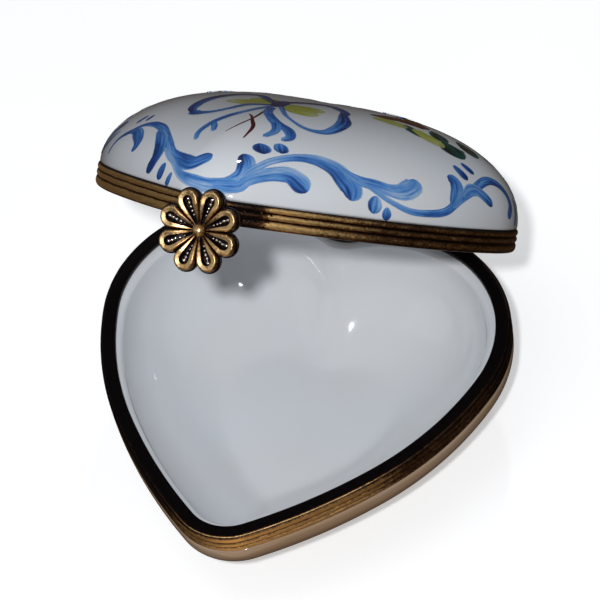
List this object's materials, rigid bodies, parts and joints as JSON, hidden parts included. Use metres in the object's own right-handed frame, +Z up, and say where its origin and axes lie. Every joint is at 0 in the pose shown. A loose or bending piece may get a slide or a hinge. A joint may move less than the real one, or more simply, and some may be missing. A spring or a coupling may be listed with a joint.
{
  "type": "hinged trinket box",
  "caption": "Heart-shaped porcelain trinket box with a domed hinged lid, ribbed brass collars and a rosette clasp, standing open.",
  "frame": {"origin": "centre of the foot's flat underside, midway between the heart's point and its lobes", "axes": "+Z up out of the base's mouth, the heart's point towards -Y, the two lobes and the hinge towards +Y, +X to the right seen from the point"},
  "size_m": [0.056, 0.0598, 0.062],
  "materials": {
    "porcelain": "clear glaze over white porcelain",
    "painted_porcelain": "clear glaze over white porcelain with blue, yellow and green overglaze painting",
    "antique_brass": "dark antiqued brass rubbed bright on the crests",
    "gilt_brass": "antiqued brass rubbed bright on the rims",
    "brass_wire": "drawn brass wire",
    "cement": "matt hard cement"
  },
  "bodies": {
    "base": {"base_porcelain": "porcelain", "base_cement": "cement", "base_collar": "antique_brass", "base_knuckle_left": "antique_brass", "base_knuckle_right": "antique_brass", "hinge_pin": "brass_wire"},
    "lid": {"lid_porcelain": "painted_porcelain", "lid_cement": "cement", "lid_collar": "antique_brass", "lid_knuckle": "antique_brass", "clasp_tongue": "antique_brass", "clasp_nib": "antique_brass", "clasp_flower": "gilt_brass", "clasp_rivet": "gilt_brass"}
  },
  "joints": [
    {"name": "lid_hinge", "type": "hinge", "parent": "base", "child": "lid", "pos_m": [0, 0.02715, 0.0165], "axis": [-1, 0, 0], "range_deg": [-49, 46]}
  ]
}
